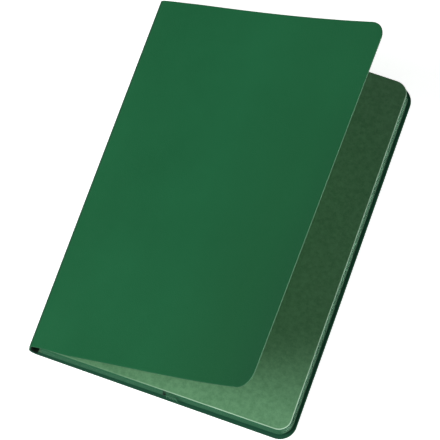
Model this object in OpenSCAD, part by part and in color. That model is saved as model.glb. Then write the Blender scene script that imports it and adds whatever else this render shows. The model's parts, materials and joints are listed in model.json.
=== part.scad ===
// Pocket-page stamp album with a soft leatherette cover, the front cover raised.
// Millimetres. +Z is up, the spine runs along Y at -X, the tail edge is at -Y.
// The origin is the centre of the back cover's underside.

/* [Covers] */
// Width of a cover, from the spine's outer face to the fore-edge
cover_w = 148; // [110:1:230]
// Height of a cover, from tail to head
cover_h = 210; // [150:1:320]
// Thickness of the leatherette cover
cover_t = 1; // [0.8:0.1:1.4]
// Radius of a cover's two fore-edge corners
cover_corner_r = 9.5; // [6:0.5:20]
// How far a cover stands out past the leaves at head, tail and fore-edge
cover_square = 1.9; // [1.5:0.1:4]
// Thickness of the paper that lines the inside of each cover
endpaper_t = 0.15; // [0.1:0.05:0.3]
// How far a lining paper stops short of its cover's edge
endpaper_inset = 2.4; // [1:0.1:4]
// Thickness of the paste between the raised cover and its lining paper
paste_t = 0.08; // [0.03:0.01:0.1]

/* [Spine] */
// Radius of the spine's lower round, at the middle of its leatherette
spine_r = 4.2; // [3.6:0.1:4.6]
// Radius of the spine's upper round, which turns with the front cover
joint_r = 4.5; // [3.8:0.1:4.8]
// Thickness of the cloth that lines the hollow spine
spine_lining_t = 0.12; // [0.08:0.02:0.2]
// How far that cloth stops short of the spine at head and tail
spine_lining_inset = 0.6; // [0.2:0.1:4]
// Hollow between the spine's lining and the binding core
spine_hollow = 0.2; // [0.1:0.05:0.4]
// How far the binding core stops short of the leaves at head and tail
core_inset = 7; // [3:1:20]

/* [Leaves] */
// Number of pocket leaves
leaf_count = 8; // [4:1:9]
// Thickness of a leaf's card
card_t = 0.48; // [0.35:0.01:0.6]
// Thickness of the paper flyleaves
flyleaf_t = 0.3; // [0.2:0.05:0.4]
// Thickness of a glassine sheet
glassine_t = 0.06; // [0.04:0.01:0.1]
// Distance from the spine's outer face to the line the top flyleaf turns about
leaf_axis_x = 4.1; // [4:0.1:5]
// Width of the bare cloth between that line and a leaf's card
hinge_w = 2.3; // [2:0.1:4]
// Thickness of a leaf's hinge cloth where it bends
hinge_t = 0.2; // [0.1:0.02:0.24]
// Thickness of the hinge cloth glued on each face of a card
tab_t = 0.08; // [0.04:0.01:0.1]
// Width of the hinge cloth glued on each face of a card
tab_w = 8; // [5:1:10]
// Air between two closed leaves
leaf_gap = 0.2; // [0.1:0.01:0.25]
// How far the top flyleaf lies back from the bottom one, drawn by the raised cover
leaf_lag = 1.3; // [0:0.1:1.5]
// How far a flyleaf stops short of the leaves at head and tail
flyleaf_inset = 0.5; // [0:0.1:1]
// How far a glassine sheet stops short of its leaf's edge
glassine_inset = 1.2; // [0.5:0.1:2]

/* [Pockets] */
// Rows of clear pockets on each face of a leaf
pocket_rows = 6; // [3:1:9]
// Thickness of the clear film
film_t = 0.1; // [0.08:0.01:0.14]
// Card left bare above the top row and below the bottom row
pocket_end_margin = 6; // [3:1:12]
// Card left bare at the fore-edge
pocket_side_margin = 5; // [3:1:10]
// Card left bare between two rows
pocket_spacing = 4; // [2:0.5:8]
// How far a row starts past the hinge cloth
pocket_inner_margin = 4; // [2:1:10]

/* [Marker ribbon] */
// Width of the ribbon
ribbon_w = 7; // [3:0.5:10]
// Thickness of the ribbon
ribbon_t = 0.15; // [0.1:0.01:0.2]
// Where the ribbon crosses the tail edge, from the spine's outer face
ribbon_tail_x = 77; // [40:1:100]
// Where the ribbon starts at the head, from the spine's outer face
ribbon_head_x = 14; // [13:1:30]
// How far the ribbon's cut end stands out past the leaves
ribbon_end = 1; // [0.5:0.1:1.4]

/* [Raised front cover] */
// Slope of the tail edge where it leaves the spine, degrees
tail_start_angle = 40; // [30:0.5:50]
// Slope of the tail edge half way along, degrees
tail_middle_angle = 29; // [20:0.5:45]
// Slope of the tail edge at the fore-edge, degrees
tail_end_angle = 46.5; // [20:0.5:50]
// Slope of the head edge where it leaves the spine, degrees
head_start_angle = 26; // [22:0.5:45]
// Slope of the head edge half way along, degrees
head_middle_angle = 30.5; // [20:0.5:45]
// Slope of the head edge at the fore-edge, degrees
head_end_angle = 38.5; // [20:0.5:50]
// Gap at each fold of the cover that is modelled as a hinge
joint_gap = 0.15; // [0.1:0.05:0.3]
// Air between the leaves and the front cover's lining when the album is shut
shut_gap = 0.15; // [0.1:0.05:0.3]

/* [Hidden] */
$fn = 96;
panel_steps = 24;
least_step = 0.2;
corner_steps = 6;
middle_steps = 9;

function leaf_nodes(k) = [
    for (part = ["card", "hinge", "front_pockets", "back_pockets", "glassine"])
        str("leaf_", k, "_", part)
];

cover_green = [0.12, 0.37, 0.23];
paper_green = [0.36, 0.55, 0.41];
card_green = [0.22, 0.42, 0.30];
cloth_green = [0.16, 0.30, 0.21];
film_clear = [0.85, 0.92, 0.90, 0.35];
glassine_white = [0.93, 0.94, 0.90, 0.6];
ribbon_green = [0.10, 0.33, 0.20];

// The leaves, from the back cover's lining upward
inside_z = cover_t + endpaper_t;
back_flyleaf_z = inside_z + leaf_gap + flyleaf_t / 2;
first_leaf_z = back_flyleaf_z + flyleaf_t / 2 + leaf_gap + film_t + card_t / 2;
leaf_pitch = card_t + 2 * film_t + glassine_t + leaf_gap;
leaf_top = card_t / 2 + film_t + glassine_t;
function leaf_z(k) = first_leaf_z + (k - 1) * leaf_pitch;
ribbon_z = leaf_z(leaf_count) + leaf_top;
front_flyleaf_z = ribbon_z + ribbon_t + leaf_gap + flyleaf_t / 2;
block_top = front_flyleaf_z + flyleaf_t / 2;
leaf_w = cover_w - cover_square - leaf_lag - leaf_axis_x - hinge_w;
leaf_h = cover_h - 2 * cover_square;
leaf_corner_r = cover_corner_r - cover_square;
// Where a leaf at height z turns, and where its card starts
function turn_x(z) =
    leaf_axis_x + leaf_lag * (front_flyleaf_z - z) / (front_flyleaf_z - back_flyleaf_z);
function card_x(z) = turn_x(z) + hinge_w;

// The spine: the lower round and its wall are fixed, the upper round turns about joint_z
spine_mid_r = spine_r + cover_t / 2;
joint_mid_r = joint_r + cover_t / 2;
joint_slope = (tail_start_angle + head_start_angle) / 2;
lining_top = -cover_t / 2 - paste_t;
panel_z = block_top + shut_gap + endpaper_t - lining_top;
panel_x = joint_mid_r - joint_r * sin(joint_slope);
joint_z = panel_z - joint_r * cos(joint_slope);
wall_top = joint_z - cover_t / 2 - joint_gap;
// The upper round stops this many degrees before the raised cover's own rounded end
joint_end_angle = 90 + joint_slope + asin((cover_t / 2 + joint_gap) / joint_r);

// The raised cover: each edge's slope runs smoothly through three values
panel_len = cover_w - panel_x;
tail_slopes = [tail_start_angle, tail_middle_angle, tail_end_angle];
head_slopes = [head_start_angle, head_middle_angle, head_end_angle];
function slope_at(slopes, s) =
    slopes[0] * (1 - s) * (1 - 2 * s) + slopes[1] * 4 * s * (1 - s) + slopes[2] * s * (2 * s - 1);
function edge_path(slopes, n = 60) = [
    for (
        i = 0, x = 0, z = 0;
        i <= n;
        x = x + panel_len / n * cos(slope_at(slopes, (i + 0.5) / n)),
        z = z + panel_len / n * sin(slope_at(slopes, (i + 0.5) / n)),
        i = i + 1
    ) [i / n, x, z]
];
tail_path = edge_path(tail_slopes);
head_path = edge_path(head_slopes);
tail_x = [for (p = tail_path) [p[0], p[1]]];
tail_z = [for (p = tail_path) [p[0], p[2]]];
head_x = [for (p = head_path) [p[0], p[1]]];
head_z = [for (p = head_path) [p[0], p[2]]];
function mix(a, b, v) = a + (b - a) * v;

// The cover's slope and the place of a point s of the way along it, at height y,
// lifted off its middle surface by rise
function panel_slope(s, y) =
    mix(slope_at(tail_slopes, s), slope_at(head_slopes, s), 0.5 + y / cover_h);
function panel_point(s, y, rise) = [
    panel_x + mix(lookup(s, tail_x), lookup(s, head_x), 0.5 + y / cover_h)
        - rise * sin(panel_slope(s, y)),
    y,
    panel_z + mix(lookup(s, tail_z), lookup(s, head_z), 0.5 + y / cover_h)
        + rise * cos(panel_slope(s, y))
];

// Rows [y, reach] of a sheet whose two fore-edge corners are round
function corner_rows(side, height, reach, r) = [
    for (i = [0:corner_steps])
        let (turn = 90 * (side < 0 ? i : corner_steps - i) / corner_steps)
        [side * (height / 2 - r + r * cos(turn)), reach - r + r * sin(turn)]
];
function panel_rows(height, reach, r) = concat(
    corner_rows(-1, height, reach, r),
    [for (i = [1:middle_steps - 1]) [(height / 2 - r) * (2 * i / middle_steps - 1), reach]],
    corner_rows(1, height, reach, r)
);

// Where column j crosses a row, the same on every sheet so that sheets lie face to face
function panel_column(j, start, reach) =
    j == 0 ? start
    : min(j * panel_len / panel_steps, reach - (panel_steps - j) * least_step);

// One row's closed outline: underside outward, top side back, then the rounded inner end
function panel_ring(row, start, low, high, round_end) = concat(
    [for (j = [0:panel_steps])
        panel_point(panel_column(j, start, row[1]) / panel_len, row[0], low)],
    [for (j = [panel_steps:-1:0])
        panel_point(panel_column(j, start, row[1]) / panel_len, row[0], high)],
    [for (turn = round_end ? [120, 150, 180, 210, 240] : [])
        [
            panel_x + cover_t / 2 * cos(panel_slope(0, row[0]) + turn),
            row[0],
            panel_z + cover_t / 2 * sin(panel_slope(0, row[0]) + turn)
        ]]
);

module panel_sheet(rows, start, low, high, round_end) {
    rings = [for (row = rows) panel_ring(row, start, low, high, round_end)];
    n = len(rings[0]);
    last = len(rings) - 1;
    sides = [
        for (i = [0:last - 1], j = [0:n - 1])
            let (a = i * n + j, b = i * n + (j + 1) % n)
            each [[a, b, b + n], [a, b + n, a + n]]
    ];
    // A cap goes from column to column, and no face of it bends round the curl
    p = panel_steps;
    cap = concat(
        [for (j = [0:p - 1]) [j, j + 1, 2 * p - j, 2 * p + 1 - j]],
        round_end ? [[for (j = [2 * p + 1:n]) j % n]] : []
    );
    first_cap = [for (face = cap) [for (k = [len(face) - 1:-1:0]) face[k]]];
    last_cap = [for (face = cap) [for (k = face) last * n + k]];
    from_spine() polyhedron(
        [for (ring = rings) each ring], concat(sides, first_cap, last_cap), convexity = 6
    );
}

// What follows is measured from the spine's outer face
module from_spine() {
    translate([-cover_w / 2, 0, 0]) children();
}

// A cross-section in X and Z, drawn out along the spine
module along_spine(length) {
    from_spine() rotate([90, 0, 0]) linear_extrude(length, center = true) children();
}

module fore_rounded(x0, x1, height, r) {
    translate([x0, -height / 2]) square([x1 - r - x0, height]);
    translate([x1 - 2 * r, r - height / 2]) square([2 * r, height - 2 * r]);
    for (side = [-1, 1]) translate([x1 - r, side * (height / 2 - r)]) circle(r);
}

module flat_sheet(x0, x1, height, r, z, t) {
    from_spine() translate([0, 0, z]) linear_extrude(t) fore_rounded(x0, x1, height, r);
}

// The fixed part of the spine, between two radii about its lower round's centre
module spine_band(outside, inside, top) {
    translate([spine_mid_r, spine_mid_r]) intersection() {
        difference() {
            circle(outside);
            circle(inside);
        }
        translate([-2 * outside, -2 * outside]) square(2 * outside);
    }
    translate([spine_mid_r - outside, spine_mid_r])
        square([outside - inside, top - spine_mid_r]);
}

module back_cover() {
    color(cover_green)
        flat_sheet(spine_mid_r, cover_w, cover_h, cover_corner_r, 0, cover_t);
}

module spine_wrap() {
    color(cover_green) along_spine(cover_h)
        spine_band(spine_mid_r, spine_r - cover_t / 2, wall_top);
}

module spine_lining() {
    inner_r = spine_r - cover_t / 2;
    color(cloth_green) along_spine(cover_h - 2 * spine_lining_inset)
        spine_band(inner_r, inner_r - spine_lining_t, wall_top);
}

module back_endpaper() {
    r = cover_corner_r - endpaper_inset;
    color(paper_green) flat_sheet(
        spine_mid_r, cover_w - endpaper_inset, cover_h - 2 * endpaper_inset, r, cover_t, endpaper_t
    );
}

// The strip of glued cloth and paper that all the leaf hinges are sewn to
module binding_core() {
    left = cover_t + spine_lining_t + spine_hollow;
    gap = (hinge_t + spine_hollow) / 2;
    low_right = turn_x(inside_z) - gap;
    high_right = turn_x(front_flyleaf_z) - gap;
    low_r = spine_mid_r - inside_z;
    high_r = joint_r - cover_t / 2 - spine_lining_t - spine_hollow;
    color(cloth_green) along_spine(leaf_h - 2 * core_inset) intersection() {
        polygon([
            [left, inside_z],
            [low_right, inside_z],
            [high_right, front_flyleaf_z],
            [left, front_flyleaf_z]
        ]);
        union() {
            translate([spine_mid_r, spine_mid_r]) circle(low_r);
            translate([0, spine_mid_r]) square([2 * spine_mid_r, joint_z - spine_mid_r]);
            translate([joint_mid_r, joint_z]) circle(high_r);
        }
    }
}

module front_joint_wrap() {
    reach = 2 * joint_mid_r;
    color(cover_green) along_spine(cover_h) {
        translate([joint_mid_r, joint_z]) intersection() {
            difference() {
                circle(joint_mid_r);
                circle(joint_r - cover_t / 2);
            }
            polygon([[0, 0], reach * [-1, 0], reach * [cos(joint_end_angle), sin(joint_end_angle)]]);
        }
        translate([cover_t / 2, joint_z]) circle(cover_t / 2);
    }
}

module front_cover() {
    color(cover_green) panel_sheet(
        panel_rows(cover_h, panel_len, cover_corner_r), 0, -cover_t / 2, cover_t / 2, true
    );
}

module front_endpaper() {
    height = cover_h - 2 * endpaper_inset;
    color(paper_green) panel_sheet(
        panel_rows(height, panel_len - endpaper_inset, cover_corner_r - endpaper_inset),
        endpaper_inset, lining_top - endpaper_t, lining_top, false
    );
}

// Hinge cloth: a bare web from the turning line, then a fork round the sheet's inner edge
module hinge_cloth(z, sheet_t) {
    fork_t = sheet_t + 2 * tab_t;
    color(cloth_green) along_spine(leaf_h - 2 * core_inset) translate([turn_x(z), z]) {
        circle(hinge_t / 2);
        translate([0, -hinge_t / 2]) square([hinge_w - tab_t, hinge_t]);
        translate([hinge_w - 2 * tab_t, -fork_t / 2]) square([2 * tab_t, fork_t]);
        for (side = [-1, 1])
            translate([hinge_w - tab_t, side * (sheet_t + tab_t) / 2 - tab_t / 2])
                square([tab_w, tab_t]);
    }
}

// A sheet of the leaves' width that stops short at head, tail and fore-edge by inset
module leaf_sheet(z, start, inset_y, inset_x, z_low, t) {
    flat_sheet(
        card_x(z) + start, card_x(z) + leaf_w - inset_x, leaf_h - 2 * inset_y,
        leaf_corner_r - inset_y, z_low, t
    );
}

module flyleaf(z) {
    color(paper_green) leaf_sheet(z, 0, flyleaf_inset, 0, z - flyleaf_t / 2, flyleaf_t);
}

module leaf_card(k) {
    color(card_green) leaf_sheet(leaf_z(k), 0, 0, 0, leaf_z(k) - card_t / 2, card_t);
}

// Clear strips that hold the stamps, glued at their sides and lower edge
module pocket_strips(k, z) {
    inner = tab_w + pocket_inner_margin;
    step = (leaf_h - 2 * pocket_end_margin + pocket_spacing) / pocket_rows;
    color(film_clear) from_spine()
        for (row = [0:pocket_rows - 1])
            translate([
                card_x(leaf_z(k)) + inner, row * step + pocket_end_margin - leaf_h / 2, z
            ]) cube([leaf_w - inner - pocket_side_margin, step - pocket_spacing, film_t]);
}

module leaf_front_pockets(k) {
    pocket_strips(k, leaf_z(k) + card_t / 2);
}

module leaf_back_pockets(k) {
    pocket_strips(k, leaf_z(k) - card_t / 2 - film_t);
}

module leaf_glassine(k) {
    color(glassine_white) leaf_sheet(
        leaf_z(k), tab_w / 2, glassine_inset, glassine_inset,
        leaf_z(k) + card_t / 2 + film_t, glassine_t
    );
}

module marker_ribbon() {
    tail_y = -leaf_h / 2 - ribbon_end;
    head_y = leaf_h / 2 - ribbon_w;
    color(ribbon_green) from_spine() translate([0, 0, ribbon_z]) linear_extrude(ribbon_t)
        polygon([
            [ribbon_tail_x, tail_y],
            [ribbon_tail_x + ribbon_w, tail_y],
            [ribbon_head_x + ribbon_w, head_y],
            [ribbon_head_x, head_y]
        ]);
}

back_cover();
spine_wrap();
back_endpaper();
spine_lining();
binding_core();
front_joint_wrap();
front_cover();
front_endpaper();
flyleaf(back_flyleaf_z);  // back_flyleaf
hinge_cloth(back_flyleaf_z, flyleaf_t);  // back_flyleaf_hinge
flyleaf(front_flyleaf_z);  // front_flyleaf
hinge_cloth(front_flyleaf_z, flyleaf_t);  // front_flyleaf_hinge
marker_ribbon();
for (k = [1:leaf_count]) {
    leaf_card(k);
    hinge_cloth(leaf_z(k), card_t);
    leaf_front_pockets(k);
    leaf_back_pockets(k);
    leaf_glassine(k);
}
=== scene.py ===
"""Looks of the stamp album: its leatherette, papers, ribbon, lights and camera.

Lengths are metres in the frame of the CAD model; MM turns millimetres into metres.
The spine lies at -X, the fore-edge at +X, the tail edge at -Y and the head edge at +Y.
"""
import json
import math
import random

import bpy
import numpy as np
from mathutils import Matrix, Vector


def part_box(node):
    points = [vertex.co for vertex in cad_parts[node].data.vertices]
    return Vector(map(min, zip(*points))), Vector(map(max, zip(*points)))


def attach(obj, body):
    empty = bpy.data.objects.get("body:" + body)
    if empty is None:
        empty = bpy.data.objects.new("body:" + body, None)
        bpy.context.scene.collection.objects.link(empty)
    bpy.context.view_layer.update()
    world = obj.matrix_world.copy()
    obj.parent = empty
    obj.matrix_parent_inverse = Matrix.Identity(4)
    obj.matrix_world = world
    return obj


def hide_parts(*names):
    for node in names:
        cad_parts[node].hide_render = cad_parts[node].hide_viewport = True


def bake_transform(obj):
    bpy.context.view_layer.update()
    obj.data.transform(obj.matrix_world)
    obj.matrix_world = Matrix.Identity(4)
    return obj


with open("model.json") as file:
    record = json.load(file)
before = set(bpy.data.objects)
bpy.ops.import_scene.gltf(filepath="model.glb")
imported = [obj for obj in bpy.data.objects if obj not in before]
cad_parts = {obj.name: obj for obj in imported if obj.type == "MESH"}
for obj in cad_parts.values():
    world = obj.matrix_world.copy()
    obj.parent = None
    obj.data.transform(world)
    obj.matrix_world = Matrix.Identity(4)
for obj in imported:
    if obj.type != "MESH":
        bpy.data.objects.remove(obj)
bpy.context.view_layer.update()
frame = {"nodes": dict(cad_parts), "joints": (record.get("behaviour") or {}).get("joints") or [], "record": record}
MM = 0.001

# ---------------------------------------------------------------- sizes from the frame

JOINTS = {joint["name"]: joint for joint in frame["joints"]}
BACK_LOW, BACK_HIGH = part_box("back_cover")
FORE_X = BACK_HIGH.x
COVER_T = BACK_HIGH.z
COVER_H = BACK_HIGH.y - BACK_LOW.y
# The back cover's flat part starts over the middle of the spine's lower round
LOWER_CENTRE_X = BACK_LOW.x
WALL_TURN = Vector(JOINTS["front_cover_open"]["pos_m"])
PANEL_TURN = Vector(JOINTS["front_cover_flex"]["pos_m"])
PANEL_LEN = FORE_X - PANEL_TURN.x

# The same driving sizes as the CAD model's
CORNER_R = 9.5 * MM
SPINE_R = 4.2 * MM
JOINT_R = 4.5 * MM
ENDPAPER_INSET = 2.4 * MM
ENDPAPER_T = 0.15 * MM
SPINE_LINING_T = 0.12 * MM
RIBBON_W = 7 * MM
TAIL_SLOPES = (40.0, 29.0, 46.5)
HEAD_SLOPES = (26.0, 30.5, 38.5)
JOINT_SLOPE = (TAIL_SLOPES[0] + HEAD_SLOPES[0]) / 2

# ---------------------------------------------------------------- small helpers


def srgb(red, green, blue):
    """A linear colour from 0-255 screen values."""
    def linear(value):
        value /= 255
        return value / 12.92 if value <= 0.04045 else ((value + 0.055) / 1.055) ** 2.4
    return (linear(red), linear(green), linear(blue), 1.0)


def smooth(t):
    """0 up to t = 0 and 1 from t = 1, with a smooth rise between."""
    t = np.clip(t, 0, 1)
    return t * t * (3 - 2 * t)


def headward(y):
    """How far y lies from the covers' tail edge, 0, towards their head edge, 1."""
    return y / COVER_H + 0.5


def back_vector(azimuth, elevation):
    """The direction from the album to a camera or light. azimuth turns it from -Y towards +X."""
    turn, tilt = math.radians(azimuth), math.radians(elevation)
    return Vector((math.sin(turn) * math.cos(tilt), -math.cos(turn) * math.cos(tilt),
                   math.sin(tilt)))


def mesh_object(name, points, faces, attributes=None):
    """A smooth-shaded object, with any per-point number attributes."""
    mesh = bpy.data.meshes.new(name)
    mesh.from_pydata([tuple(map(float, p)) for p in points], [], faces)
    mesh.validate()
    for key, values in (attributes or {}).items():
        layer = mesh.attributes.new(key, "FLOAT", "POINT")
        layer.data.foreach_set("value", np.asarray(values, np.float32))
    mesh.shade_smooth()
    obj = bpy.data.objects.new(name, mesh)
    bpy.context.scene.collection.objects.link(obj)
    return obj


# ---------------------------------------------------------------- materials

WHITE = (1, 1, 1, 1)
LEDGE_SHADE = srgb(14, 44, 28)
LINT = srgb(226, 238, 230)
# A wave texture's bands lie this far apart at a scale of 1
WAVE_BAND = 0.314


class Shader:
    """A node material with one Principled shader and short calls to wire its nodes."""

    def __init__(self, name, roughness, specular=0.5, alpha=1.0):
        self.material = bpy.data.materials.new(name)
        self.material.use_nodes = True
        self.tree = self.material.node_tree
        self.principled = self.tree.nodes["Principled BSDF"]
        self.principled.inputs["Roughness"].default_value = roughness
        self.principled.inputs["Specular IOR Level"].default_value = specular
        self.principled.inputs["Alpha"].default_value = alpha
        self.place = self.node("ShaderNodeTexCoord").outputs["Object"]

    def node(self, kind, settings=None, **inputs):
        """A new node, with its settings and its inputs; _ stands for a space in their names."""
        made = self.tree.nodes.new(kind)
        for key, value in (settings or {}).items():
            setattr(made, key, value)
        for key, value in inputs.items():
            self.feed(made.inputs[key.replace("_", " ")], value)
        return made

    def feed(self, socket, value):
        """Links a socket to another's output, or sets it to a number or a colour."""
        if isinstance(value, bpy.types.NodeSocket):
            self.tree.links.new(value, socket)
        else:
            socket.default_value = value

    def noise(self, size, detail=4.0, roughness=0.55, place=None):
        """Noise whose blotches are about this many metres across."""
        return self.node(
            "ShaderNodeTexNoise", Vector=place or self.place,
            Scale=1 / size, Detail=detail, Roughness=roughness,
        ).outputs["Fac"]

    def cells(self, size):
        """The distance to the edge of cells about this many metres across."""
        return self.node(
            "ShaderNodeTexVoronoi", {"feature": "DISTANCE_TO_EDGE"},
            Vector=self.place, Scale=1 / size,
        ).outputs["Distance"]

    def stretched(self, scale):
        """The place, stretched before a texture reads it."""
        return self.node("ShaderNodeMapping", Vector=self.place, Scale=scale).outputs["Vector"]

    def math(self, operation, a, b=0.0, clamp=False):
        """One sum on two values, with its result held to 0..1 where clamp is set."""
        made = self.tree.nodes.new("ShaderNodeMath")
        made.operation = operation
        made.use_clamp = clamp
        self.feed(made.inputs[0], a)
        self.feed(made.inputs[1], b)
        return made.outputs[0]

    def product(self, first, *others):
        """All the values multiplied together."""
        for other in others:
            first = self.math("MULTIPLY", first, other)
        return first

    def span(self, value, low, high, to_low=0.0, to_high=1.0):
        """value's stretch from low to high, carried to to_low..to_high."""
        made = self.node("ShaderNodeMapRange", Value=value)
        for key, number in zip(("From Min", "From Max", "To Min", "To Max"),
                               (low, high, to_low, to_high)):
            made.inputs[key].default_value = number
        return made.outputs["Result"]

    def blend(self, factor, a, b):
        """The colour a where factor is 0, and b where it is 1."""
        made = self.tree.nodes.new("ShaderNodeMix")
        made.data_type = "RGBA"
        self.feed(made.inputs["Factor"], factor)
        self.feed(made.inputs["A"], a)
        self.feed(made.inputs["B"], b)
        return made.outputs["Result"]

    def axes(self, vector=None):
        """X, Y and Z of a place or a direction."""
        made = self.node("ShaderNodeSeparateXYZ", Vector=vector or self.place)
        return made.outputs["X"], made.outputs["Y"], made.outputs["Z"]

    def facing(self, axis):
        """How far the surface faces along one axis of the object, from -1 to 1."""
        normal = self.node("ShaderNodeTexCoord").outputs["Normal"]
        return self.axes(normal)[axis]

    def attribute(self, name):
        """A number that the mesh's points carry."""
        return self.node("ShaderNodeAttribute", {"attribute_name": name}).outputs["Fac"]

    def colour(self, value):
        self.feed(self.principled.inputs["Base Color"], value)

    def sheet_colour(self, value):
        """The colour of a sheet in the album, dark where the back cover's ledge shades it.

        That is on the fore-edges of the lowest sheets.
        """
        fore_edge = self.span(self.facing(0), 0.3, 0.8)
        lowest = self.span(self.axes()[2], 2.2 * MM, 3.2 * MM, 1.0, 0.0)
        self.colour(self.blend(self.product(fore_edge, lowest), value, LEDGE_SHADE))

    def rough(self, value):
        self.feed(self.principled.inputs["Roughness"], value)

    def bump(self, *layers):
        """Layers of (height, depth in metres), each on top of the one before."""
        normal = None
        for height, depth in layers:
            made = self.node("ShaderNodeBump", Height=height, Distance=depth)
            if normal:
                self.feed(made.inputs["Normal"], normal)
            normal = made.outputs["Normal"]
        self.feed(self.principled.inputs["Normal"], normal)


def leatherette(name, base, dark, deep, painted_fold_shade, rim, backing):
    """Soft embossed leatherette: fine grain, faint clouding, a paler cut edge, a dull backing.

    The cut edge is paler in its own colour, and paler still, as painted light, where it faces +X
    and stands off the table. Painted shade darkens the faces that turn to -X round the spine, and
    the raised front cover near its fore-edge, most towards the tail.
    """
    shader = Shader(name, roughness=0.55, specular=0.14)
    clouds = shader.noise(60 * MM, detail=3)
    fine = shader.noise(1.4 * MM, detail=5)
    grain = shader.span(shader.cells(0.75 * MM), 0.0, 0.35)
    tone = shader.math("ADD", shader.span(clouds, 0.3, 0.7), shader.span(fine, 0.3, 0.7, -0.2, 0.2))
    across, along, up = shader.axes()
    # Painted shade on the raised front cover near its fore-edge, strongest towards the tail
    to_fore_edge = shader.span(across, -10 * MM, 28 * MM)
    to_tail = shader.span(along, 80 * MM, -50 * MM, 0.35, 1.0)
    raised = shader.span(up, 14 * MM, 26 * MM)
    painted_slope_shade = shader.product(to_fore_edge, to_tail, raised)
    body = shader.blend(painted_slope_shade, shader.blend(tone, dark, base), deep)
    facing = shader.facing(0)
    # Painted shade on the faces that turn to -X round the spine
    body = shader.blend(shader.span(facing, -0.6, -0.95), body, painted_fold_shade)
    body = shader.blend(shader.attribute("under"), body, backing)
    # The cut edge's paleness is partly its own colour, and painted light where it faces +X and stands off the
    # table
    edge = shader.span(shader.attribute("edge"), 0.3, 0.8)
    painted_light_facing = shader.span(facing, 0.1, 0.6, 0.4, 1.0)
    painted_light_raised = shader.span(up, 1 * MM, 12 * MM, 0.2, 1.0)
    shader.colour(shader.blend(shader.product(edge, painted_light_facing, painted_light_raised), body, rim))
    shader.rough(shader.span(fine, 0.3, 0.7, 0.5, 0.62))
    shader.bump((grain, 0.04 * MM), (fine, 0.05 * MM))
    return shader.material


def fibre_paper(name, base, dark, painted_gutter_shade, rim):
    """Uncoated paper: short fibres, a fine fleck, and a painted highlight along its cut edge.

    The painted highlight is left out low in the album, fades towards the spine and ends at the head.
    Near the spine the paper takes a painted shade.
    """
    shader = Shader(name, roughness=0.85, specular=0.2)
    fibres = shader.noise(0.7 * MM, detail=6, roughness=0.7)
    fleck = shader.noise(2.2 * MM, detail=3, roughness=0.6)
    clouds = shader.noise(45 * MM, detail=2)
    tone = shader.math("ADD", shader.span(fibres, 0.35, 0.65, 0, 0.4),
                       shader.span(fleck, 0.35, 0.65, 0, 0.6))
    tone = shader.math("ADD", tone, shader.span(clouds, 0.3, 0.7, -0.15, 0.15), clamp=True)
    across, along, up = shader.axes()
    # Painted shade near the spine
    near_spine = shader.span(across, -66 * MM, -40 * MM, 1.0, 0.0)
    body = shader.blend(near_spine, shader.blend(tone, dark, base), painted_gutter_shade)
    # Painted highlight along the cut edge, left out low in the album, fading towards the spine and ending at the
    # head
    uneven = shader.product(shader.noise(11 * MM, detail=3), 0.5)
    edge = shader.span(shader.math("ADD", shader.attribute("margin"), uneven), 0.4, 0.85, 1.0, 0.0)
    to_fore_edge = shader.span(across, -25 * MM, 25 * MM, 0.1, 1.0)
    below_head = shader.span(along, 95 * MM, 101 * MM, 1.0, 0.0)
    on_top = shader.span(up, 5 * MM, 9 * MM)
    painted_edge_highlight = shader.product(to_fore_edge, below_head, on_top, edge)
    shader.sheet_colour(shader.blend(painted_edge_highlight, body, rim))
    shader.rough(shader.span(fibres, 0.3, 0.7, 0.78, 0.92))
    shader.bump((fibres, 0.02 * MM), (fleck, 0.03 * MM))
    return shader.material


def dyed_card(name, base, dark, pale):
    """Smooth dyed card whose cut edge shows its plies, with painted light on its fore-edge.

    The painted light is weakest on the lowest leaves, and weaker at the tail end.
    """
    shader = Shader(name, roughness=0.7, specular=0.25)
    fibres = shader.noise(0.7 * MM, detail=5, roughness=0.65)
    plies = shader.noise(0.35 * MM, detail=3, place=shader.stretched((0.08, 0.08, 1.0)))
    tone = shader.math("ADD", shader.span(fibres, 0.35, 0.65, 0, 0.5),
                       shader.span(plies, 0.35, 0.65, 0, 0.5), clamp=True)
    _, along, up = shader.axes()
    # Painted light on the fore-edges of the cards
    fore_edge = shader.span(shader.facing(0), 0.4, 0.95)
    to_head = shader.span(along, -100 * MM, 30 * MM, 0.6, 1.0)
    above_lowest = shader.span(up, 2 * MM, 4 * MM)
    painted_edge_light = shader.product(fore_edge, to_head, above_lowest)
    shader.sheet_colour(shader.blend(painted_edge_light, shader.blend(tone, dark, base), pale))
    shader.rough(shader.span(fibres, 0.3, 0.7, 0.62, 0.78))
    shader.bump((fibres, 0.01 * MM))
    return shader.material


def woven_cloth(name, base, dark, thread):
    """Plain weave whose threads, this many metres apart, run along Y and across it."""
    shader = Shader(name, roughness=0.9, specular=0.15)
    warp, weft = (
        shader.node("ShaderNodeTexWave", {"bands_direction": direction}, Vector=shader.place,
                    Scale=WAVE_BAND / thread, Distortion=0.6).outputs["Fac"]
        for direction in ("X", "Y")
    )
    weave = shader.product(shader.math("ADD", warp, weft), 0.5)
    slub = shader.noise(2.5 * MM, detail=4)
    tone = shader.math("MULTIPLY", weave, shader.span(slub, 0.3, 0.7, 0.6, 1.2), clamp=True)
    shader.colour(shader.blend(tone, dark, base))
    shader.rough(shader.span(slub, 0.3, 0.7, 0.82, 0.95))
    shader.bump((weave, 0.04 * MM))
    return shader.material


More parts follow.
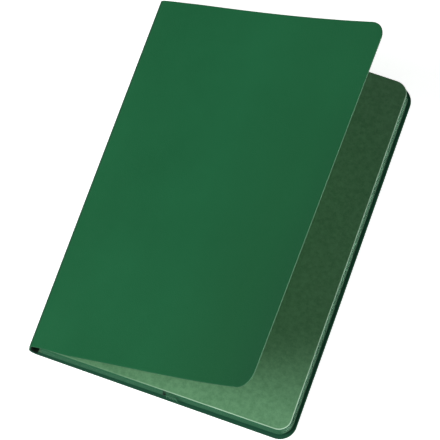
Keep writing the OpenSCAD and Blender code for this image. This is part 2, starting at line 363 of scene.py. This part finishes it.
def clear_film(name, tint, shaded):
    """Thin glossy film with a faint ripple and lint, whose cut edges catch the light.

    The edges of the lowest films take painted shade, like the leaves there.
    """
    shader = Shader(name, roughness=0.1, specular=0.6)
    level = shader.math("ABSOLUTE", shader.facing(2))
    shader.feed(shader.principled.inputs["Alpha"], shader.span(level, 0.3, 0.8, 0.85, 0.2))
    ripple = shader.noise(18 * MM, detail=2)
    lint = shader.noise(1.2 * MM, detail=5)
    body = shader.blend(shader.span(lint, 0.45, 0.7), tint, LINT)
    # Painted shade on the edges of the lowest films
    edge = shader.span(level, 0.3, 0.8, 1.0, 0.0)
    low = shader.span(shader.axes()[2], 2 * MM, 5 * MM, 1.0, 0.0)
    shader.sheet_colour(shader.blend(shader.product(edge, low), body, shaded))
    shader.rough(shader.span(lint, 0.3, 0.8, 0.06, 0.2))
    shader.bump((ripple, 0.15 * MM))
    return shader.material


def glassine_paper(name, base, dark):
    """Milky translucent paper, faintly mottled and crimped."""
    shader = Shader(name, roughness=0.4, specular=0.4, alpha=0.6)
    mottle = shader.noise(4 * MM, detail=6)
    shader.colour(shader.blend(shader.span(mottle, 0.35, 0.65), dark, base))
    shader.rough(shader.span(mottle, 0.3, 0.7, 0.32, 0.5))
    shader.bump((mottle, 0.05 * MM))
    return shader.material


def satin(name, base, dark, painted_fold_shade):
    """Satin ribbon: fine lengthwise threads, a soft green sheen, and painted shade in its fold."""
    shader = Shader(name, roughness=0.42, specular=0.2)
    shader.principled.inputs["Sheen Weight"].default_value = 0.15
    shader.principled.inputs["Sheen Tint"].default_value = base
    threads = shader.noise(0.25 * MM, detail=3, place=shader.stretched((1.0, 0.05, 1.0)))
    body = shader.blend(shader.span(threads, 0.35, 0.65), dark, base)
    # Painted shade in the ribbon's fold
    shader.colour(shader.blend(shader.attribute("fold"), body, painted_fold_shade))
    shader.rough(shader.span(threads, 0.3, 0.7, 0.36, 0.52))
    shader.bump((threads, 0.02 * MM))
    return shader.material


MATERIALS = {
    "leatherette": leatherette(
        "leatherette", srgb(27, 102, 62), srgb(23, 96, 57), srgb(24, 90, 53),
        srgb(18, 66, 44), srgb(84, 132, 100), srgb(30, 81, 59)),
    "flyleaf": fibre_paper(
        "flyleaf", srgb(114, 163, 123), srgb(90, 139, 100), srgb(76, 128, 95), srgb(196, 232, 204)),
    "endpaper": fibre_paper(
        "endpaper", srgb(104, 150, 113), srgb(90, 136, 100), srgb(84, 128, 96), srgb(120, 165, 130)),
    "card": dyed_card("card", srgb(58, 122, 87), srgb(47, 107, 75), srgb(180, 244, 202)),
    "hinge_cloth": woven_cloth("hinge_cloth", srgb(70, 110, 84), srgb(34, 62, 46), 0.35 * MM),
    # The lining cloth's near-black colour is painted shade for the hollow spine
    "binding": woven_cloth("binding", srgb(22, 42, 30), srgb(8, 20, 13), 0.6 * MM),
    "pocket_film": clear_film("pocket_film", srgb(142, 208, 166), srgb(44, 98, 68)),
    "glassine": glassine_paper("glassine", srgb(240, 242, 234), srgb(222, 227, 217)),
    "ribbon": satin("ribbon", srgb(52, 108, 76), srgb(36, 86, 58), srgb(6, 34, 20)),
}


def dress_cad_nodes():
    """Every CAD node that stays gets its slot's material."""
    slots = {row["node"]: row["material_slot"] for row in frame["record"]["subparts"]}
    for name, obj in frame["nodes"].items():
        obj.data.materials.clear()
        obj.data.materials.append(MATERIALS[slots[name]])


def finish_piece(obj, slot_name):
    """Gives a piece the material of its slot."""
    obj.data.materials.append(MATERIALS[slot_name])
    return obj


# ---------------------------------------------------------------- sheets with rounded rims

# A sheet's edges are rounded over this distance in
RIM = 0.3 * MM
# How far inside a sheet's edge its rounded rim is cut into columns
RIM_INSETS = np.array([0.0, 0.02, 0.06, 0.12, 0.2, 0.3, 0.5, 0.8]) * MM
# A row that a rounded corner cuts off before its rim keeps its columns this far apart
LEAST_STEP = 0.04 * MM
# The rows of a rounded corner, as turns round it from the sheet's end
CORNER_TURNS = np.radians([0, 2.5, 5, 8, 12, 17, 23, 30, 38, 46, 54, 62, 70, 78, 84, 90])
# The first stretch of a row, which takes in the bend beside the spine. A rounded corner leaves
# its columns where they are
BEND_LEN = 12 * MM


def row_heights(height, corner_r, straight):
    """Y of each row of a sheet with two rounded fore-edge corners, from tail to head."""
    tail = [-height / 2 + corner_r * (1 - math.cos(turn)) for turn in CORNER_TURNS]
    middle = [tail[-1] - 2 * tail[-1] * i / straight for i in range(1, straight)]
    return tail + middle + [-y for y in reversed(tail)]


def rim_columns(y, height, reach, corner_r):
    """Places along the row at y at which the rounded rim is cut, outermost first."""
    out = height / 2 - abs(y)
    centre = reach - corner_r
    if out >= corner_r:
        return reach - RIM_INSETS
    columns = []
    for i, inset in enumerate(RIM_INSETS):
        if inset <= out:
            half = math.sqrt(max(0.0, (corner_r - inset) ** 2 - (corner_r - out) ** 2))
            columns.append(centre + half)
        else:
            columns.append(min(columns[-1], centre) - LEAST_STEP * (i + 1))
    return np.array(columns)


def row_places(y, height, reach, corner_r, start, inner):
    """Places along the row at y, from start outward: the inner ones and then the rim's.

    A rounded corner shortens the row, and draws the inner places together.
    """
    rim = rim_columns(y, height, reach, corner_r)[::-1]
    before = np.array(inner[:-1])
    shortening = (rim[0] - start) / (inner[-1] - start)
    before = start + (before - start) * np.where(before > start + BEND_LEN, shortening, 1.0)
    return np.concatenate([before, rim])


def edge_distance(s, y, height, reach, corner_r):
    """Distance inward from the sheet's free edges."""
    out = height / 2 - abs(y)
    centre = reach - corner_r
    if s > centre and out < corner_r:
        return corner_r - math.hypot(s - centre, corner_r - out)
    return min(out, reach - s)


def sheet_faces(above, below, closed_start):
    """Faces over and under a grid of rows of point numbers, and along its open start."""
    faces = []
    for i in range(len(above) - 1):
        for j in range(len(above[0]) - 1):
            faces.append((above[i][j], above[i][j + 1], above[i + 1][j + 1], above[i + 1][j]))
            faces.append((below[i][j], below[i + 1][j], below[i + 1][j + 1], below[i][j + 1]))
        if not closed_start:
            faces.append((above[i][0], above[i + 1][0], below[i + 1][0], below[i][0]))
    faces = [tuple(dict.fromkeys(face)) for face in faces]
    return [face for face in faces if len(face) > 2]


def sheet_object(name, place, start, height, reach, corner_r, thickness, inner, straight=24,
                 closed_start=False):
    """A sheet with rounded rims. place(s, y) gives (point, normal) on its middle surface.

    Its rows run from start to reach. inner lists the places along a row, from start, that come
    before the rim's own, and straight is the number of steps between the rounded corners.

    The point attribute edge is 1 on the rim's outermost line and falls to 0 at the sheet's
    faces; under is 1 on the face that the normal points away from; margin grows from 0 at the
    free edges to 1 a millimetre in.
    """
    rows = [(y, row_places(y, height, reach, corner_r, start, inner))
            for y in row_heights(height, corner_r, straight)]
    last_column = len(rows[0][1]) - 1
    points, edges, unders, margins, above, below = [], [], [], [], [], []

    def add(point, edge, under, margin):
        points.append(point)
        edges.append(edge)
        unders.append(under)
        margins.append(margin)
        return len(points) - 1

    for i, (y, columns) in enumerate(rows):
        up, down = [], []
        for j, s in enumerate(columns):
            inward = edge_distance(s, y, height, reach, corner_r)
            margin = min(max(inward, 0) / MM, 1.0)
            if closed_start:
                inward = min(inward, s - start)
            fullness = math.sqrt(1 - (1 - min(max(inward, 0) / RIM, 1)) ** 2)
            point, normal = place(s, y)
            if i in (0, len(rows) - 1) or j == last_column or (closed_start and j == 0):
                up.append(add(point, 1.0, 0.5, margin))
                down.append(up[-1])
            else:
                half = thickness / 2 * fullness
                up.append(add(point + normal * half, 1 - fullness, 0.0, margin))
                down.append(add(point - normal * half, 1 - fullness, 1.0, margin))
        above.append(up)
        below.append(down)
    faces = sheet_faces(above, below, closed_start)
    return mesh_object(name, points, faces, {"edge": edges, "under": unders, "margin": margins})


# ---------------------------------------------------------------- the leatherette cover

# The spine's upper and lower rounds, about these centres
UPPER_CENTRE = WALL_TURN + Vector((JOINT_R, 0, 0))
LOWER_CENTRE = Vector((LOWER_CENTRE_X, 0, COVER_T / 2 + SPINE_R))
# The back and front skins meet in a seam at this many degrees round the upper round
SEAM_POLAR = 153.0
SEAM_LEN = math.radians(SEAM_POLAR - 90 - JOINT_SLOPE) * JOINT_R
# The skins have a column this close to the seam
SEAM_STEP = 0.05 * MM
# The raised cover's edges take their own slopes over this length past the spine
EASE_LEN = 7 * MM
# How far the raised cover draws the spine's ends in, and the share of it left at the lower
# round. It fades over this length of the front cover
DRAWN_AT_TAIL, DRAWN_AT_HEAD = 1.8 * MM, 0.5 * MM
DRAWN_SHARE_BELOW = 0.4
DRAWN_FADE_LEN = 28 * MM
# The back cover lies a little askew: the corners of its fore-edge are this far towards the tail
SKEW_AT_TAIL, SKEW_AT_HEAD = 0.45 * MM, 1.1 * MM
# Its fore-edge is this far out, rising from none at the tail over this share of its height
SKEW_OUT, SKEW_OUT_RISE = 0.2 * MM, 0.4


def slope_at(slopes, t):
    """A slope that runs smoothly through three values, at the start, the middle and the end."""
    return (slopes[0] * (1 - t) * (1 - 2 * t) + slopes[1] * 4 * t * (1 - t)
            + slopes[2] * t * (2 * t - 1))


def edge_curve(slopes, steps=1200):
    """Distances, X, Z and slopes along one edge of the raised cover, eased out of the spine."""
    s = np.linspace(0, PANEL_LEN, steps + 1)
    slope = slope_at(slopes, s / PANEL_LEN)
    slope = JOINT_SLOPE + (slope - JOINT_SLOPE) * smooth(s / EASE_LEN)
    middle = np.radians((slope[1:] + slope[:-1]) / 2)
    step = PANEL_LEN / steps
    x = PANEL_TURN.x + np.concatenate([[0], np.cumsum(np.cos(middle) * step)])
    z = PANEL_TURN.z + np.concatenate([[0], np.cumsum(np.sin(middle) * step)])
    return s, x, z, slope


TAIL_CURVE = edge_curve(TAIL_SLOPES)
HEAD_CURVE = edge_curve(HEAD_SLOPES)


def drawn(y, share):
    """y on the cover, drawn in from both ends where the raised cover drags the spine round."""
    return y + share * ((1 - headward(y)) * DRAWN_AT_TAIL - headward(y) * DRAWN_AT_HEAD)


def round_place(centre, radius, polar, y):
    """Point and outward normal on one of the spine's rounds."""
    normal = Vector((math.cos(polar), 0, math.sin(polar)))
    return centre + normal * radius + Vector((0, y, 0)), normal


def front_place(s, y):
    """Point and outward normal of the front cover, s metres past the top of the spine."""
    if s < 0:
        polar = math.radians(90 + JOINT_SLOPE) - s / JOINT_R
        return round_place(UPPER_CENTRE, JOINT_R, polar, drawn(y, 1))
    across = headward(y)
    x, z, slope = (
        (1 - across) * np.interp(s, TAIL_CURVE[0], TAIL_CURVE[k])
        + across * np.interp(s, HEAD_CURVE[0], HEAD_CURVE[k])
        for k in (1, 2, 3)
    )
    turn = math.radians(slope)
    place = Vector((x, drawn(y, 1 - float(smooth(s / DRAWN_FADE_LEN))), z))
    return place, Vector((-math.sin(turn), 0, math.cos(turn)))


BACK_ARC = math.radians(180 - SEAM_POLAR) * JOINT_R
WALL_LEN = WALL_TURN.z - LOWER_CENTRE.z
LOWER_ARC = math.pi / 2 * SPINE_R
SPINE_LEN = BACK_ARC + WALL_LEN + LOWER_ARC
BACK_LEN = FORE_X - LOWER_CENTRE_X


def back_place(s, y):
    """Point and outward normal of the spine and back cover, s metres below the seam."""
    if s < BACK_ARC:
        return round_place(UPPER_CENTRE, JOINT_R, math.radians(SEAM_POLAR) + s / JOINT_R,
                           drawn(y, 1))
    s -= BACK_ARC
    if s < WALL_LEN:
        share = 1 - (1 - DRAWN_SHARE_BELOW) * s / WALL_LEN
        return Vector((WALL_TURN.x, drawn(y, share), WALL_TURN.z - s)), Vector((-1, 0, 0))
    s -= WALL_LEN
    if s < LOWER_ARC:
        return round_place(LOWER_CENTRE, SPINE_R, math.pi + s / SPINE_R,
                           drawn(y, DRAWN_SHARE_BELOW))
    s -= LOWER_ARC
    outward = s / BACK_LEN
    out = SKEW_OUT * float(smooth(headward(y) / SKEW_OUT_RISE)) * outward
    down = (SKEW_AT_TAIL + (SKEW_AT_HEAD - SKEW_AT_TAIL) * headward(y)) * outward
    place = Vector((LOWER_CENTRE_X + s + out,
                    drawn(y, DRAWN_SHARE_BELOW * (1 - outward)) - down, COVER_T / 2))
    return place, Vector((0, 0, -1))


def stations(*stretches):
    """Places along a row: each stretch is (from, to, number of steps)."""
    places = [stretches[0][0]]
    for low, high, steps in stretches:
        places += [low + (high - low) * i / steps for i in range(1, steps + 1)]
    return places


def blend_at_panel_turn(skin):
    """Bakes a skin's placing into its points."""
    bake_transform(skin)


def front_cover_skin():
    """The front cover, from the seam in the spine's upper round to the fore-edge."""
    inner = stations(
        (-SEAM_LEN, -SEAM_LEN + SEAM_STEP, 1), (-SEAM_LEN + SEAM_STEP, 0, 10),
        (0, EASE_LEN, 14), (EASE_LEN, BEND_LEN, 4), (BEND_LEN, PANEL_LEN - RIM_INSETS[-1], 44),
    )
    skin = sheet_object("front_cover_skin", front_place, -SEAM_LEN, COVER_H, PANEL_LEN,
                        CORNER_R, COVER_T, inner, straight=30)
    finish_piece(skin, "leatherette")
    blend_at_panel_turn(skin)
    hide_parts("front_cover")


def back_cover_skin():
    """The back cover and the spine, up to the seam in the spine's upper round."""
    reach = SPINE_LEN + BACK_LEN
    inner = stations(
        (0, SEAM_STEP, 1), (SEAM_STEP, BACK_ARC, 10), (BACK_ARC, BACK_ARC + WALL_LEN, 6),
        (BACK_ARC + WALL_LEN, SPINE_LEN, 20), (SPINE_LEN, reach - RIM_INSETS[-1], 40),
    )
    skin = sheet_object("back_cover_skin", back_place, 0.0, COVER_H, reach,
                        CORNER_R, COVER_T, inner, straight=30)
    finish_piece(skin, "leatherette")
    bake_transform(skin)
    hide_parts("back_cover", "spine_wrap", "front_joint_wrap")


def spine_lining():
    """The cloth pasted inside the hollow spine, ending just short of it; its near-black colour is painted shade.
    """
    low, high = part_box("spine_lining")
    corner = 1 * MM
    start = BACK_ARC + WALL_TURN.z - high.z

    def place(s, y):
        point, normal = back_place(s, y)
        return point - normal * (COVER_T + SPINE_LINING_T) / 2, normal

    inner = stations((start, start + RIM, 3), (start + RIM, SPINE_LEN - RIM_INSETS[-1], 24))
    skin = sheet_object("spine_lining_skin", place, start, high.y - low.y, SPINE_LEN, corner,
                        SPINE_LINING_T, inner, closed_start=True)
    finish_piece(skin, "binding")
    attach(skin, "back_and_spine")
    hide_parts("spine_lining")


def front_lining():
    """The paper pasted inside the front cover."""
    paste = 0.05 * MM
    reach = PANEL_LEN - ENDPAPER_INSET

    def place(s, y):
        point, normal = front_place(s, y)
        return point - normal * (COVER_T / 2 + paste + ENDPAPER_T / 2), -normal

    inner = stations((ENDPAPER_INSET, EASE_LEN, 10), (EASE_LEN, BEND_LEN, 3),
                     (BEND_LEN, reach - RIM_INSETS[-1], 40))
    lining = sheet_object("front_lining", place, ENDPAPER_INSET, COVER_H - 2 * ENDPAPER_INSET,
                          reach, CORNER_R - ENDPAPER_INSET, ENDPAPER_T, inner, closed_start=True)
    finish_piece(lining, "endpaper")
    blend_at_panel_turn(lining)
    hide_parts("front_endpaper")


# ---------------------------------------------------------------- flyleaf and ribbon

# A flyleaf lies this far towards the head, at its hinge and at its fore-edge
FLYLEAF_SHIFTS = (0.4 * MM, 0.1 * MM)
# Steps across the marker ribbon and along it
RIBBON_COLUMNS = 20
RIBBON_ROWS = 60
# The rows of its hanging end, as shares of the way from the leaves' edge to the cut
HANGING_ROWS = (0.06, 0.14, 0.25, 0.4, 0.55, 0.7, 0.85, 1.0)
# The hanging end turns from level to upright over this share of that way
HANGING_BEND = 0.25
# The ribbon's painted fold shade covers this share of its width, and fades out over this share more
FOLD_SHARE, FOLD_FADE = 0.22, 0.08
# Its band is this share of the CAD ribbon's thickness, and its cut end is this far to -X of it
BAND_THINNESS = 0.7
BAND_SHIFT = 1.2 * MM


def flyleaf_skin(node, body):
    """A paper flyleaf with a softly rounded cut edge and a painted highlight along it."""
    low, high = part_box(node)
    height = high.y - low.y
    corner = CORNER_R - (COVER_H - height) / 2
    reach = high.x - low.x
    at_hinge, at_fore_edge = FLYLEAF_SHIFTS

    def place(s, y):
        y += at_hinge + (at_fore_edge - at_hinge) * s / reach
        return Vector((low.x + s, y, (low.z + high.z) / 2)), Vector((0, 0, 1))

    inner = stations((0, 0.4 * MM, 4), (0.4 * MM, BEND_LEN, 3),
                     (BEND_LEN, reach - RIM_INSETS[-1], 30))
    skin = sheet_object(node + "_skin", place, 0.0, height, reach, corner, high.z - low.z, inner,
                        straight=20, closed_start=True)
    finish_piece(skin, "flyleaf")
    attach(skin, body)
    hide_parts(node)


def ribbon_point(tail, u, t):
    """A place on the ribbon's hanging end: u runs across it, and t from the leaves to the cut.

    The cloth spreads by 0.3 of its width as it frays. It hangs 0.8 mm down at the side of its fold and
    0.4 mm past that, and stands 0.22 mm off the leaves.
    """
    spread = (1 + 0.3 * smooth(t)) * (u - 0.55) + 0.55
    drop = (0.8 - 0.4 * float(smooth((u - 0.2) / 0.2))) * t * MM
    out = 0.22 * float(smooth(t / 0.4)) * MM
    return tail + Vector((RIBBON_W * float(spread), -out, -drop))


def ribbon_rows(head, tail, across):
    """Rows of (point, normal) on the ribbon's middle, from its head end to its cut end."""
    rows = [[(head.lerp(tail, i / RIBBON_ROWS) + Vector((RIBBON_W * u, 0, 0)), Vector((0, 0, 1)))
             for u in across] for i in range(RIBBON_ROWS + 1)]
    for t in HANGING_ROWS:
        turn = math.pi / 2 * min(1.0, t / HANGING_BEND)
        normal = Vector((0, -math.sin(turn), math.cos(turn)))
        rows.append([(ribbon_point(tail, u, t), normal) for u in across])
    return rows


def band_faces(row_count, column_count):
    """Faces of a closed band whose rows hold its upper points and then its lower ones."""
    faces = []
    for i in range(row_count - 1):
        first = 2 * column_count * i
        following = first + 2 * column_count
        for j in range(column_count - 1):
            faces.append((first + j, following + j, following + j + 1, first + j + 1))
            under, next_under = first + column_count + j, following + column_count + j
            faces.append((under, under + 1, next_under + 1, next_under))
    last = 2 * column_count * (row_count - 1)
    for j in range(column_count - 1):
        under = column_count + j
        faces.append((j, j + 1, under + 1, under))
        faces.append((last + j, last + under, last + under + 1, last + j + 1))
    return faces


def ribbon_piece():
    """The marker ribbon: a satin band under the flyleaf whose cut end hangs out frayed."""
    low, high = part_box("marker_ribbon")
    z = (low.z + high.z) / 2
    half = (high.z - low.z) / 2 * BAND_THINNESS
    head = Vector((low.x, high.y, z))
    tail = Vector((high.x - RIBBON_W - BAND_SHIFT, low.y, z))
    across = [i / RIBBON_COLUMNS for i in range(RIBBON_COLUMNS + 1)]
    rows = ribbon_rows(head, tail, across)
    lips = [half * (1 - (2 * u - 1) ** 8) for u in across]
    # The fold attribute marks painted shade on the hanging end, at the side of its fold
    fold_shade_mask = [float(1 - smooth((u - FOLD_SHARE) / FOLD_FADE)) for u in across]
    no_fold_shade = [0.0] * len(across)
    points, fold_shades = [], []
    for i, row in enumerate(rows):
        points += [point + normal * lip for (point, normal), lip in zip(row, lips)]
        points += [point - normal * lip for (point, normal), lip in zip(row, lips)]
        fold_shades += (fold_shade_mask if i >= RIBBON_ROWS else no_fold_shade) * 2
    faces = band_faces(len(rows), len(across))
    band = finish_piece(mesh_object("ribbon_band", points, faces, {"fold": fold_shades}), "ribbon")
    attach(band, "leaf_8")
    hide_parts("marker_ribbon")
    ribbon_threads(tail)


def ribbon_threads(tail, count=30, steps=8, sides=6):
    """Loose threads that hang from the ribbon's cut end, over the edges of the leaves."""
    chance = random.Random(7)
    points, faces = [], []
    for i in range(count):
        u = 0.32 + 0.68 * (i + chance.uniform(-0.4, 0.4)) / (count - 1)
        start = ribbon_point(tail, u, chance.uniform(0.3, 0.9))
        fall = chance.uniform(1.8, 5.0) * MM
        drift = chance.uniform(-0.2, 1.5) * MM
        lift = chance.uniform(0.15, 0.6) * MM
        radius = chance.uniform(0.05, 0.08) * MM
        first = len(points)
        for k in range(steps + 1):
            t = k / steps
            centre = start + Vector((drift * t * t, -lift * t, -fall * t))
            for q in range(sides):
                turn = 2 * math.pi * q / sides
                thin = radius * (1 - 0.5 * t)
                points.append(centre + Vector((math.cos(turn), math.sin(turn), 0)) * thin)
        for k in range(steps):
            for q in range(sides):
                a, b = first + sides * k + q, first + sides * k + (q + 1) % sides
                faces.append((a, a + sides, b + sides, b))
        faces.append(tuple(first + q for q in range(sides)))
        faces.append(tuple(first + sides * steps + q for q in reversed(range(sides))))
    threads = mesh_object("ribbon_threads", points, faces)
    # The threads' green, paler than the ribbon's, is a painted highlight
    threads.data.materials.append(satin(
        "frayed_threads", srgb(100, 164, 126), srgb(72, 134, 98), srgb(100, 164, 126)))
    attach(threads, "leaf_8")


# ---------------------------------------------------------------- stage, lights, camera


def floor(half_size=6.0):
    """A plain pale floor that keeps the album's shadow."""
    corners = [(x * half_size, y * half_size, 0) for x, y in ((-1, -1), (1, -1), (1, 1), (-1, 1))]
    obj = mesh_object("floor", corners, [(0, 1, 2, 3)])
    obj.location.z = -0.05 * MM
    shader = Shader("floor_white", roughness=0.9, specular=0.0)
    shader.colour(srgb(232, 232, 232))
    light_path = shader.node("ShaderNodeLightPath")
    shader.principled.inputs["Emission Color"].default_value = WHITE
    shader.feed(shader.principled.inputs["Emission Strength"],
                shader.product(light_path.outputs["Is Camera Ray"], 0.83))
    obj.data.materials.append(shader.material)


def surround():
    """An even white surround, bright to the camera and dim as a light."""
    world = bpy.data.worlds.new("studio")
    bpy.context.scene.world = world
    world.use_nodes = True
    nodes, links = world.node_tree.nodes, world.node_tree.links
    background = nodes["Background"]
    background.inputs["Color"].default_value = WHITE
    light_path = nodes.new("ShaderNodeLightPath")
    strength = nodes.new("ShaderNodeMapRange")
    strength.inputs["To Min"].default_value = 0.13
    strength.inputs["To Max"].default_value = 1.0
    links.new(light_path.outputs["Is Camera Ray"], strength.inputs["Value"])
    links.new(strength.outputs["Result"], background.inputs["Strength"])


def aim(data, azimuth, elevation, distance, target):
    """An object for a lamp's or a camera's data, at a distance from target and looking at it."""
    back = back_vector(azimuth, elevation)
    obj = bpy.data.objects.new(data.name, data)
    bpy.context.scene.collection.objects.link(obj)
    obj.location = target + back * distance
    obj.rotation_euler = (-back).to_track_quat("-Z", "Y").to_euler()
    return obj


def area_light(name, azimuth, elevation, distance, size, power):
    """A soft light, size (width, height), aimed at the album."""
    data = bpy.data.lights.new(name, "AREA")
    data.shape = "RECTANGLE"
    data.size, data.size_y = size
    data.energy = power
    aim(data, azimuth, elevation, distance, Vector((0, 0, 0)))


def camera():
    """The photograph's view: its turn and tilt, its distance and its long lens."""
    focal_px, frame_px = 3005.2, 440
    data = bpy.data.cameras.new("camera")
    data.sensor_width = 36
    data.lens = data.sensor_width * focal_px / frame_px
    data.clip_start, data.clip_end = 0.05, 20
    target = Vector((-2.43, -1.0, 0)) * MM
    bpy.context.scene.camera = aim(data, azimuth=19.4, elevation=73.33,
                                   distance=1624.9 * MM, target=target)


# ---------------------------------------------------------------- the whole scene

camera()
floor()
surround()
area_light("key", azimuth=-54, elevation=45, distance=2.2, size=(1.25, 1.25), power=44)
area_light("side", azimuth=85, elevation=3.5, distance=1.2, size=(0.5, 0.06), power=15)

dress_cad_nodes()
back_cover_skin()
front_cover_skin()
spine_lining()
front_lining()
flyleaf_skin("front_flyleaf", "front_flyleaf")
flyleaf_skin("back_flyleaf", "back_flyleaf")
ribbon_piece()

bpy.context.scene.view_settings.view_transform = "Standard"
